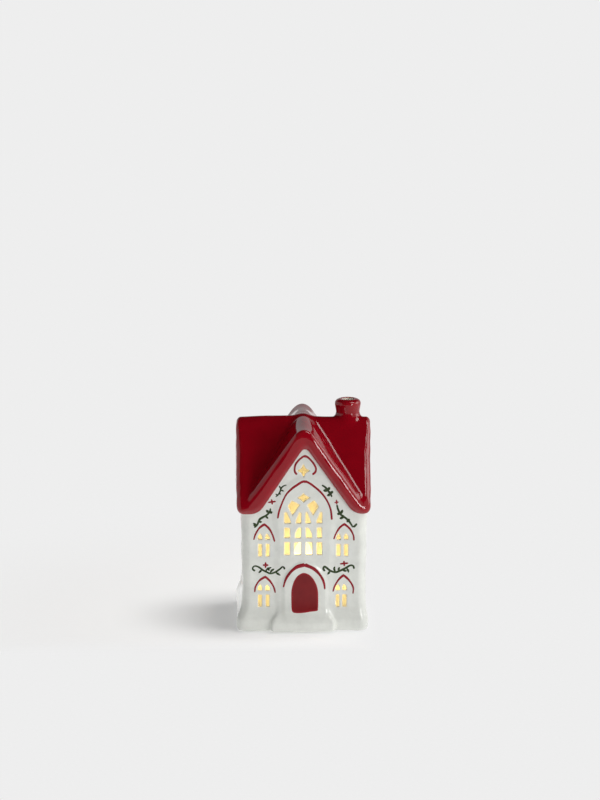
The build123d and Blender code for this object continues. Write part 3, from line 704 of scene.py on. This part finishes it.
class Strokes:
    def __init__(self, seed, scale):
        self.v, self.f, self.rng, self.scale = [], [], np.random.default_rng(seed), scale

    def add(self, pts, widths, turn=0):
        """widths: (t, mm) pairs along the stroke."""
        path = smooth_path(pts) + 0.004 * np.array([len(self.v) % 7 - 3, len(self.v) % 5 - 2])
        n = len(path)
        t = np.linspace(0, 1, n)
        w = np.interp(t, [a for a, _ in widths], [b for _, b in widths]) * self.scale
        w = w * (1 + 0.07 * np.sin(t * self.rng.uniform(9, 16) + self.rng.uniform(0, 6)))
        cap = np.minimum(np.minimum(t, 1 - t) * n * 0.45 / 0.55, 1.0)
        w = np.maximum(w * np.sqrt(np.clip(0.12 + cap, 0, 1)), 0.12)
        tan = np.gradient(path, axis=0)
        tan /= np.linalg.norm(tan, axis=1, keepdims=True)
        nor = np.stack([-tan[:, 1], tan[:, 0]], 1)
        across = np.array([-1.0, -0.86, -0.45, 0.0, 0.45, 0.86, 1.0, 0.8, -0.8])
        lift = np.array([-0.10, 0.06, 0.13, 0.15, 0.13, 0.06, -0.10, -0.55, -0.55])
        k = len(across)
        ring = path[:, None, :] + nor[:, None, :] * (across[None, :, None] * w[:, None, None] / 2)
        x, z = ring[..., 0].ravel(), ring[..., 1].ravel()
        self.place(x, z, np.tile(lift, n), turn)
        base = self.count
        for i in range(n - 1):
            for j in range(k):
                a, b = base + i * k + j, base + i * k + (j + 1) % k
                self.f.append((a, b, b + k, a + k))
        self.f.append(tuple(base + j for j in reversed(range(k))))
        self.f.append(tuple(base + (n - 1) * k + j for j in range(k)))
        self.count += n * k

    count = 0

    def place(self, x, z, lift, turn):
        """turn: 0 front, 1 right, 2 back, 3 left; the other faces take the same drawing."""
        c, s = ((1, 0), (0, 1), (-1, 0), (0, -1))[turn]
        y = np.full(len(x), -50.0, F)
        for _ in range(60):
            wx, wy = c * x - s * y, s * x + c * y
            y = y + np.clip(walls_skin(wx.astype(F), wy.astype(F), z.astype(F)), -1, 1) * F(0.8)
        way = Vector((-s, c, 0.0))
        for i in range(len(x)):
            hit = WALL_TREE.ray_cast(Vector((c * x[i] + s * 60.0, s * x[i] - c * 60.0, z[i])), way, 30.0)
            if hit[0] is not None and abs(hit[3] - 60.0 - y[i]) < 1.2:
                y[i] = min(y[i], hit[3] - 60.0)
        y = y - lift
        self.v.append(np.stack([c * x - s * y, s * x + c * y, z], 1))

    def finish(self, name, mat):
        o = mesh_object(name, np.vstack(self.v), self.f, [mat])
        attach(o, "house")
        return o


def tip(strokes, at, turn=0):
    """A short dab that closes the notch where two strokes meet."""
    strokes.add([(at[0], at[1] - 1.3), (at[0], at[1] - 0.4), (at[0], at[1] + 0.65)], [(0, 1.2), (0.5, 1.3), (1, 0.75)], turn)


ARCH_W = [(0, 0.95), (0.3, 1.2), (0.5, 1.75), (0.7, 1.25), (1, 0.95)]
red = Strokes(2, 1.28)
red.add([(-4.9, 110.1), (-6.3, 112.1), (-6.5, 114.6), (-5.8, 117.4), (-3.7, 120.2), (-1.2, 122.3), (0.7, 123.2)], [(0, 1.3), (0.5, 1.15), (1, 1.3)])
red.add([(0.7, 123.2), (2.8, 121.9), (5.0, 119.6), (6.9, 117.0), (8.0, 114.4), (7.6, 112.0), (5.6, 110.1)], [(0, 1.3), (0.5, 1.15), (1, 1.3)])
tip(red, (0.7, 123.2))
red.add([(-18.1, 79.8), (-17.3, 84.2), (-16.0, 88.2), (-14.2, 92.8), (-11.9, 97.0), (-8.6, 100.4), (-5.0, 103.0), (-1.8, 105.0), (0.5, 105.7)], [(0, 1.05), (0.5, 1.1), (1, 1.5)])
red.add([(0.5, 105.7), (3.2, 104.5), (6.3, 102.3), (11.3, 97.9), (15.2, 92.6), (17.9, 86.3), (18.9, 78.6)], [(0, 1.5), (0.4, 1.15), (1, 1.1)])
tip(red, (0.5, 105.7))
SMALL_ARCHES = [
    [(-34.5, 64.6), (-33.3, 68.5), (-30.7, 72.8), (-27.2, 75.6), (-23.9, 72.4), (-21.7, 68.2), (-20.1, 63.3)],
    [(20.2, 64.9), (21.7, 68.8), (24.2, 72.8), (27.5, 75.6), (31.4, 71.8), (33.6, 67.5), (34.0, 63.9)],
    [(-33.9, 27.7), (-33.3, 31.5), (-30.7, 35.8), (-26.6, 38.7), (-23.3, 35.4), (-20.8, 31.1), (-19.8, 27.2)],
    [(19.7, 27.9), (20.8, 31.5), (23.4, 36.1), (26.9, 39.6), (30.8, 35.8), (33.5, 30.9), (33.4, 26.4)],
]
for pts in SMALL_ARCHES:
    red.add(pts[:4], [(0, 0.85), (0.6, 1.1), (1, 1.5)])
    red.add(pts[3:], [(0, 1.5), (0.4, 1.15), (1, 0.9)])
    tip(red, pts[3])
red.add([(-14.3, 31.5), (-12.6, 37.2), (-9.4, 42.1), (-5.0, 45.8), (0.4, 47.4)], [(0, 0.95), (0.5, 1.6), (1, 2.3)])
red.add([(0.4, 47.4), (6.8, 44.3), (11.4, 39.2), (13.5, 34.4), (14.1, 30.0)], [(0, 2.3), (0.5, 1.6), (1, 1.05)])
tip(red, (0.4, 47.4))


def blossom(layer, x, z, rx, rz, turn=0, tilt=0.0):
    """A small four-petalled mark."""
    c, s = math.cos(tilt), math.sin(tilt)
    for dx, dz in ((rx, 0), (-rx, 0), (0, rz), (0, -rz)):
        ux, uz = c * dx - s * dz, s * dx + c * dz
        layer.add([(x - 0.25 * ux, z - 0.25 * uz), (x + 0.5 * ux, z + 0.5 * uz), (x + ux, z + uz)], [(0, 0.8), (0.6, 1.1), (1, 0.85)], turn)


blossom(red, -22.0, 91.2, 2.7, 1.9, tilt=0.15)
red.add([(20.6, 90.6), (22.1, 90.6), (23.6, 91.0)], [(0, 0.6), (0.5, 1.0), (1, 0.6)])
red.add([(22.0, 92.6), (22.1, 90.7), (22.3, 89.3)], [(0, 0.5), (0.5, 1.0), (1, 0.7)])
blossom(red, -26.4, 46.8, 2.0, 2.1)
blossom(red, 27.3, 47.7, 2.9, 1.9, tilt=0.1)

green = Strokes(4, 1.35)
STEM = [(0, 0.9), (0.5, 1.15), (1, 0.8)]
LEAF = [(0, 0.7), (0.55, 1.35), (1, 0.6)]
# upper sprigs beside the gable
FINE = [(0, 0.65), (0.5, 0.95), (1, 0.65)]
BOLD = [(0, 0.9), (0.55, 1.7), (1, 0.9)]
FULL = [(0, 0.95), (0.5, 1.3), (1, 0.95)]
green.add([(-12.0, 102.9), (-13.4, 102.6), (-14.9, 101.7), (-15.9, 100.4), (-16.2, 99.2), (-17.0, 97.3), (-18.2, 95.7), (-19.5, 94.7)], FINE)
for pts in ([(-16.0, 100.3), (-17.0, 102.5)], [(-15.9, 99.6), (-13.9, 98.7)], [(-17.6, 96.4), (-18.6, 96.1), (-19.5, 96.9)], [(-17.0, 97.3), (-16.1, 96.4)]):
    green.add(pts, FINE)
green.add([(12.0, 102.8), (13.8, 101.7), (15.4, 100.0), (16.9, 98.0), (18.2, 96.4), (18.8, 94.4)], FULL)
for a, b in (((15.9, 98.9), (17.5, 101.3)), ((16.2, 98.7), (13.0, 99.3)), ((18.1, 96.7), (19.5, 98.7)), ((18.1, 96.4), (15.6, 95.5))):
    green.add([a, b], BOLD)
# lower sprigs under the eaves
green.add([(-23.0, 86.7), (-23.4, 84.5), (-24.2, 83.4), (-25.8, 81.8), (-28.5, 80.3), (-30.3, 79.0), (-31.2, 77.2), (-32.3, 74.8), (-34.1, 73.2)], FULL)
for pts in ([(-24.2, 83.6), (-26.0, 85.6)], [(-23.9, 83.5), (-21.6, 84.2)], [(-26.4, 81.3), (-24.6, 79.5)], [(-31.2, 77.1), (-28.7, 77.3)], [(-32.3, 75.2), (-33.6, 75.6), (-34.9, 76.4)], [(-32.9, 74.7), (-34.8, 75.0)]):
    green.add(pts, (BOLD if pts[0][0] > -25.0 else LEAF))
green.add([(22.3, 89.2), (22.9, 86.5), (23.8, 84.2), (24.8, 82.3), (27.0, 80.7), (29.7, 78.5), (31.2, 76.6), (33.4, 73.1)], FULL)
for a, b in (((24.8, 82.4), (26.3, 85.5)), ((24.5, 82.3), (22.4, 82.9)), ((27.2, 80.6), (24.2, 79.2)), ((29.9, 78.2), (31.2, 78.8)), ((30.3, 77.8), (29.0, 77.0))):
    green.add([a, b], BOLD)
green.add([(33.4, 73.2), (34.7, 74.2), (36.0, 75.9)], FULL)
# garlands between the storeys
green.add([(-33.5, 42.7), (-35.2, 43.9), (-34.9, 45.5), (-33.3, 46.2), (-30.9, 45.3), (-28.7, 43.6), (-25.6, 41.9), (-23.0, 40.9), (-19.8, 41.9), (-16.6, 44.2), (-15.0, 45.7), (-13.8, 45.2), (-13.5, 43.9)], [(0, 1.2), (0.1, 0.9), (0.5, 1.1), (0.9, 0.9), (1, 1.2)])
for pts in ([(-26.5, 42.2), (-25.2, 44.0), (-22.4, 45.2)], [(-23.3, 41.2), (-22.2, 43.0), (-20.4, 44.2)], [(-28.9, 43.5), (-31.2, 41.3)], [(-19.7, 41.9), (-17.9, 40.7), (-16.2, 39.7)], [(-24.9, 43.8), (-23.5, 43.2)]):
    green.add(pts, LEAF)
green.add([(14.2, 42.6), (13.1, 44.2), (13.8, 45.8), (15.4, 44.9), (17.8, 42.9), (21.1, 41.6), (24.2, 42.5), (27.9, 44.2), (31.5, 46.3), (33.6, 45.9), (34.1, 43.9)], [(0, 1.3), (0.1, 1.1), (0.5, 1.25), (0.9, 1.1), (1, 1.3)])
for pts in ([(21.4, 41.9), (20.5, 43.9), (21.0, 45.7)], [(23.8, 42.4), (23.6, 43.9), (24.4, 45.1)], [(18.0, 42.7), (15.9, 40.2)], [(28.9, 44.6), (30.0, 42.8), (30.4, 41.2)], [(25.9, 43.3), (27.7, 42.6), (29.3, 42.4)]):
    green.add(pts, LEAF)

# the other three faces carry the same arch lines and garlands
for turn in (1, 2, 3):
    for pts in SMALL_ARCHES:
        red.add(pts[:4], [(0, 0.85), (0.6, 1.1), (1, 1.5)], turn)
        red.add(pts[3:], [(0, 1.5), (0.4, 1.15), (1, 0.9)], turn)
        tip(red, pts[3], turn)
    red.add([(-4.9, 110.9), (-6.3, 112.9), (-6.5, 115.4), (-5.8, 118.2), (-3.7, 121.0), (-1.2, 123.1), (0.4, 124.1)], [(0, 1.3), (0.5, 1.15), (1, 1.3)], turn)
    red.add([(0.4, 124.1), (2.8, 122.7), (5.0, 120.4), (6.6, 117.8), (7.3, 115.2), (6.9, 112.9), (5.4, 111.0)], [(0, 1.3), (0.5, 1.15), (1, 1.3)], turn)
    tip(red, (0.4, 124.1), turn)
    blossom(red, -26.4, 46.8, 2.0, 2.1, turn)
    blossom(red, 27.2, 47.2, 2.2, 2.0, turn)
    green.add([(-33.2, 42.4), (-34.9, 43.6), (-34.6, 45.2), (-33.0, 45.9), (-30.6, 45.0), (-28.4, 43.3), (-25.3, 41.6), (-22.7, 40.6), (-19.5, 41.6), (-16.3, 43.9), (-14.7, 45.4), (-13.5, 44.9), (-13.2, 43.6)], [(0, 1.2), (0.1, 0.9), (0.5, 1.1), (0.9, 0.9), (1, 1.2)], turn)
    green.add([(15.0, 42.3), (13.9, 43.9), (14.6, 45.5), (16.2, 44.6), (18.6, 42.6), (21.9, 41.3), (25.0, 42.2), (28.6, 43.9), (32.2, 46.0), (34.4, 45.6), (35.0, 43.6)], [(0, 1.2), (0.1, 0.9), (0.5, 1.1), (0.9, 0.9), (1, 1.2)], turn)
    for pts in ([(-26.2, 41.9), (-24.9, 43.7), (-22.1, 44.9)], [(-23.0, 40.9), (-21.9, 42.7), (-20.1, 43.9)], [(-28.6, 43.2), (-30.9, 41.0)], [(-19.4, 41.6), (-17.6, 40.4), (-15.9, 39.4)],
                [(22.2, 41.6), (21.4, 43.6), (21.9, 45.6)], [(18.8, 42.4), (16.4, 39.7)], [(29.6, 44.3), (30.8, 42.4), (31.4, 40.6)], [(26.6, 43.0), (28.4, 42.3), (30.2, 42.0)]):
        green.add(pts, LEAF, turn)
red.finish("painted_red_lines", LINE_RED)
green.finish("painted_green_sprigs", LEAF_GREEN)


# the door: a flat pool of colour in its shallow recess
def door_outline(n=140):
    corners = [(-8.7, 16.2), (-9.0, 22.6), (-8.8, 29.6), (-7.3, 35.3), (-4.6, 39.6), (-0.3, 41.8), (4.3, 39.8), (7.6, 35.2), (9.4, 29.6), (9.7, 22.6), (9.5, 16.8), (8.9, 15.1), (4.0, 14.4), (-1.0, 13.7), (-5.6, 13.6), (-7.8, 14.2)]
    p = np.asarray(corners + corners[:1], float)
    ext = np.vstack([p[-2], p, p[1]])
    out = []
    for i in range(1, len(ext) - 2):
        a, b, c, d = ext[i - 1], ext[i], ext[i + 1], ext[i + 2]
        t = np.linspace(0, 1, 20, endpoint=False)[:, None]
        out.append(0.5 * (2 * b + (c - a) * t + (2 * a - 5 * b + 4 * c - d) * t**2 + (3 * b - a - 3 * c + d) * t**3))
    out = np.vstack(out)
    s = np.concatenate([[0], np.cumsum(np.linalg.norm(np.diff(np.vstack([out, out[:1]]), axis=0), axis=1))])
    q = np.linspace(0, s[-1], n, endpoint=False)
    loop = np.vstack([out, out[:1]])
    return np.stack([np.interp(q, s, loop[:, 0]), np.interp(q, s, loop[:, 1])], 1)


def door_panel():
    line = door_outline()
    n = len(line)
    mid = np.array([0.8, 25.0])
    rel = line - mid
    size = np.linalg.norm(rel, axis=1, keepdims=True)
    rings, lifts = [], []
    for inset, lift in ((0.0, -1.4), (0.0, -0.06), (0.35, 0.13), (0.9, 0.16), (1.8, 0.12)):
        rings.append(mid + rel * (1 - inset / size))
        lifts.append(np.full(n, lift))
    inner = mid + rel * (1 - 1.8 / size) - mid
    for k in range(1, 7):
        rings.append(mid + inner * (1 - k / 7.0))
        lifts.append(np.full(n, 0.11))
    pts = np.vstack(rings + [mid[None]])
    lift = np.concatenate(lifts + [[0.11]])
    y = front_y(pts[:, 0], pts[:, 1]) - lift
    verts = np.stack([pts[:, 0], y, pts[:, 1]], 1)
    faces = []
    for r in range(len(rings) - 1):
        for i in range(n):
            j = (i + 1) % n
            faces.append((r * n + i, r * n + j, (r + 1) * n + j, (r + 1) * n + i))
    last = (len(rings) - 1) * n
    centre = len(verts) - 1
    for i in range(n):
        faces.append((last + i, last + (i + 1) % n, centre))
    faces.append(tuple(reversed(range(n))))
    return verts, faces


dv, df = door_panel()
door_obj = mesh_object("painted_door", dv, df, [DOOR_RED])
rim = np.zeros(len(dv), F)
rim[:3 * 140], rim[3 * 140:4 * 140] = 1.0, 0.35
door_obj.data.attributes.new("rim", "FLOAT", "POINT").data.foreach_set("value", rim)
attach(door_obj, "house")

# =====================================================================================================
# Carried-over CAD nodes
# =====================================================================================================
SHELL = plain("moulded_shell", (0.70, 0.70, 0.675), (0.78, 0.78, 0.755), 160.0, 0.42, 0.0, 0.14, 1800.0)
# painted glow: the light module's housing and cover are no lamp but get a faint warm emission, none below 8 mm and full
# from 13 mm up
MILKY_PAINTED_GLOW = glowing("milky_shell_painted_glow", (1.0, 0.76, 0.27), (0.80, 0.79, 0.76), 0.31, 0.008, 0.013, 0.0, True)
RUBBER = plain("grip_rubber", (0.43, 0.43, 0.42), (0.50, 0.50, 0.49), 300.0, 0.7, 0.0, 0.25, 2200.0)
FELT = plain("pad_felt", (0.30, 0.29, 0.275), (0.42, 0.41, 0.39), 1600.0, 0.95, 0.0, 0.7, 3000.0)
STEEL = plain("plated_steel", (0.52, 0.52, 0.53), (0.64, 0.64, 0.64), 700.0, 0.28, 1.0, 0.10, 2500.0)
BLACK = plain("black_moulding", (0.014, 0.014, 0.015), (0.03, 0.03, 0.031), 500.0, 0.5, 0.0, 0.18, 2200.0)
REDWIRE = plain("red_insulation", (0.38, 0.014, 0.014), (0.48, 0.025, 0.022), 600.0, 0.42, 0.0, 0.10, 2000.0)
BOARD = plain("board_mask", (0.012, 0.085, 0.030), (0.022, 0.125, 0.045), 420.0, 0.35, 0.0, 0.15, 1400.0)
RESISTOR = plain("resistor_lacquer", (0.42, 0.30, 0.17), (0.52, 0.40, 0.24), 800.0, 0.35, 0.0, 0.1, 2000.0)
SLEEVE = plain("cell_sleeve", (0.055, 0.062, 0.072), (0.085, 0.095, 0.11), 240.0, 0.3, 0.35, 0.05, 1500.0)
LENS = glowing("lit_lens", (1.0, 0.88, 0.60), (1.0, 0.79, 0.31), 1.0, 0.037, 0.047, 6.7)
LED = glowing("lit_led", (1.0, 0.80, 0.40), (1.0, 0.76, 0.34), 12.0, 0.027, 0.030, 0.5)

NODE_MATERIALS = {
    "foot_pads": FELT, "module_housing": MILKY_PAINTED_GLOW, "module_cover": MILKY_PAINTED_GLOW, "battery_door": SHELL, "grip_ring": RUBBER,
    "lens": LENS, "led": LED, "circuit_board": BOARD, "resistor": RESISTOR, "switch_body": STEEL, "switch_knob": BLACK,
    "batteries": SLEEVE, "battery_springs": STEEL, "positive_contact": STEEL, "negative_contact": STEEL,
    "bridge_contact": STEEL, "red_leads": REDWIRE, "black_leads": BLACK, "cover_screws": STEEL, "board_screws": STEEL,
}
for name, mat in NODE_MATERIALS.items():
    o = frame["nodes"][name]
    if not o.data.materials:
        o.data.materials.append(mat)
    for i in range(len(o.data.materials)):
        o.data.materials[i] = mat

# =====================================================================================================
# Stage, light, camera
# =====================================================================================================
def paper(name, mirror):
    """Pale paper that takes light and shadow near the house and is evenly lit further off. The mirrored one has a dark
    gap to either side behind the house, for reflections."""
    m, nt, b = new_material(name)
    at = nt.nodes.new("ShaderNodeSeparateXYZ")
    nt.links.new(obj_coords(nt), at.inputs[0])
    x, y = at.outputs["X"], at.outputs["Y"]
    far = map_range(nt, maths(nt, "SQRT", maths(nt, "ADD", maths(nt, "MULTIPLY", x, x), maths(nt, "MULTIPLY", y, y))), 0.13, 0.34)
    far.interpolation_type = "SMOOTHSTEP"
    far = maths(nt, "MAXIMUM", far.outputs[0], map_range(nt, x, 0.0, 0.05).outputs[0])
    if not mirror:
        far = maths(nt, "MAXIMUM", far, map_range(nt, y, -0.058, -0.098).outputs[0])
    grain = ramp(nt, noise(nt, 400.0, 2.0, 0.5, obj_coords(nt)).outputs["Fac"], [(0.3, (0.985, 0.985, 0.985)), (0.7, (1.0, 1.0, 1.0))])
    base = ramp(nt, far, [(0.0, (0.70, 0.70, 0.70)), (1.0, (0.0, 0.0, 0.0))])
    base = mix(nt, 1.0, base.outputs[0], grain.outputs[0], "MULTIPLY")
    glow = ramp(nt, far, [(0.0, (0.315, 0.315, 0.315)), (1.0, (0.862, 0.862, 0.862))])
    glow = mix(nt, 1.0, glow.outputs[0], grain.outputs[0], "MULTIPLY")
    if mirror:
        ax = maths(nt, "ABSOLUTE", x)
        gap = map_range(nt, maths(nt, "SUBTRACT", ax, maths(nt, "MULTIPLY_ADD", y, 0.058, 0.250)), -0.012, 0.012).outputs[0]
        gap = maths(nt, "MULTIPLY", gap, map_range(nt, y, 0.25, 0.5).outputs[0])
        gap = maths(nt, "MULTIPLY", gap, map_range(nt, ax, 1.8, 2.4, 1.0, 0.0).outputs[0])
        glow = mix(nt, gap, glow, (0.40, 0.40, 0.40))
        front = map_range(nt, y, -0.06, -0.26).outputs[0]
        glow = mix(nt, front, glow, (0.52, 0.52, 0.52))
        base = mix(nt, front, base, (0.02, 0.02, 0.02))
    nt.links.new(base, b.inputs["Base Color"])
    nt.links.new(glow, b.inputs["Emission Color"])
    b.inputs["Emission Strength"].default_value = 1.0
    b.inputs["Roughness"].default_value = 0.9
    b.inputs["Specular IOR Level"].default_value = 0.0
    return m


SHEET = np.array([(-6000, -6000, 0), (6000, -6000, 0), (6000, 6000, 0), (-6000, 6000, 0)])
floor = mesh_object("floor", SHEET - (0, 0, 0.05), [(0, 1, 2, 3)], [paper("pale_paper", False)])
floor.visible_glossy = False
floor.visible_shadow = False
mirrored = mesh_object("floor_in_reflections", SHEET - (0, 0, 0.5), [(0, 1, 2, 3)], [paper("pale_paper_mirrored", True)])
mirrored.visible_camera = False
mirrored.visible_diffuse = False
mirrored.visible_shadow = False


def area(name, loc, target, size, power, color=(1, 1, 1), size_y=None):
    data = bpy.data.lights.new(name, "AREA")
    data.energy = power
    data.color = color
    data.shape = "RECTANGLE"
    data.size = size
    data.size_y = size_y or size
    o = bpy.data.objects.new(name, data)
    o.location = loc
    d = Vector(target) - Vector(loc)
    o.rotation_euler = d.to_track_quat("-Z", "Y").to_euler()
    bpy.context.scene.collection.objects.link(o)
    return o


def aim(name, direction, dist, size, power, only, size_y=None):
    """An area light from a direction, which lights only the named collection."""
    d = Vector(direction).normalized()
    t = Vector((0, 0, 0.07))
    o = area(name, t + d * dist, t, size, power, (1.0, 0.99, 0.975), size_y)
    o.light_linking.receiver_collection = only
    return o


house_only = bpy.data.collections.new("house_only")
floor_only = bpy.data.collections.new("floor_only")
for o in list(bpy.data.objects):
    if o.type == "MESH":
        (floor_only if o in (floor, mirrored) else house_only).objects.link(o)
aim("over_floor", (0.31, -0.02, 0.95), 3.0, 1.5, 68.0, floor_only, 1.4)
aim("over", (0.45, -0.16, 0.88), 3.0, 1.2, 23.5, house_only).visible_diffuse = False
aim("over_soft", (0.67, -0.20, 0.71), 3.0, 1.3, 29.0, house_only).visible_glossy = False
aim("side", (0.88, 0.10, 0.44), 1.3, 0.80, 5.2, house_only).visible_diffuse = False
aim("side_soft", (0.88, 0.10, 0.44), 1.3, 0.80, 2.8, house_only).visible_glossy = False
fill = area("fill", (0.33, -0.42, 0.21), (0, 0, 0.07), 0.13, 0.62)
fill.light_linking.receiver_collection = house_only
soft = area("soft", (-0.10, -0.95, 0.30), (0, 0, 0.07), 0.5, 0.66)
soft.light_linking.receiver_collection = house_only
soft.visible_glossy = False

world = bpy.data.worlds.new("room")
bpy.context.scene.world = world
world.use_nodes = True
wt = world.node_tree
bg = wt.nodes["Background"]
# a low pale band behind, a taller pale wall to either side, dark above and in front
direction = wt.nodes.new("ShaderNodeSeparateXYZ")
wt.links.new(wt.nodes.new("ShaderNodeTexCoord").outputs["Generated"], direction.inputs[0])
dx, dy, dz = direction.outputs["X"], direction.outputs["Y"], direction.outputs["Z"]
band = ramp(wt, dz, [(0.0, (0.36,) * 3), (0.06, (0.45,) * 3), (0.38, (0.46,) * 3), (0.48, (0.018,) * 3), (1.0, (0.012,) * 3)])
band = mix(wt, map_range(wt, dy, -0.10, -0.25).outputs[0], band.outputs[0], (0.015, 0.015, 0.015))
wall_r = maths(wt, "MULTIPLY", map_range(wt, dx, 0.52, 0.56).outputs[0], map_range(wt, dz, 0.60, 0.64, 0.60, 0.0).outputs[0])
wall_l = maths(wt, "MULTIPLY", map_range(wt, dx, -0.72, -0.78).outputs[0], map_range(wt, dz, 0.60, 0.64, 0.60, 0.0).outputs[0])
wall = maths(wt, "MAXIMUM", wall_r, wall_l)
light = mix(wt, 1.0, band, wall, "LIGHTEN")
wt.links.new(light, bg.inputs["Color"])
bg.inputs["Strength"].default_value = 1.0

# camera: looks down on the house from about 13 degrees, house low in the frame
ELEV, YAW, DIST, FOCAL_PX = math.radians(13.0), math.radians(-1.0), 4.0, 5797.0
TARGET_PX = (303.2, 507.3)
P = Vector((0, 0, 0.0775))
ray = Vector((-math.sin(YAW) * math.cos(ELEV), math.cos(YAW) * math.cos(ELEV), -math.sin(ELEV)))
cam_loc = P - ray * DIST
pitch = -ELEV + math.atan((TARGET_PX[1] - 400) / FOCAL_PX)
heading = YAW + math.atan((TARGET_PX[0] - 300) / FOCAL_PX)
look = Vector((-math.sin(heading) * math.cos(pitch), math.cos(heading) * math.cos(pitch), math.sin(pitch)))
cam = bpy.data.cameras.new("camera")
cam.sensor_fit = "HORIZONTAL"
cam.sensor_width = 36.0
cam.lens = 36.0 * FOCAL_PX / 600.0
cam.clip_start, cam.clip_end = 0.05, 30.0
cam_obj = bpy.data.objects.new("camera", cam)
cam_obj.location = cam_loc
cam_obj.rotation_euler = look.to_track_quat("-Z", "Y").to_euler()
bpy.context.scene.collection.objects.link(cam_obj)
bpy.context.scene.camera = cam_obj

scene = bpy.context.scene
scene.view_settings.view_transform = "Standard"
scene.view_settings.look = "None"
scene.view_settings.exposure = 0.0
scene.view_settings.gamma = 1.0
scene.cycles.use_denoising = True
scene.cycles.max_bounces = 16
scene.cycles.diffuse_bounces = 12
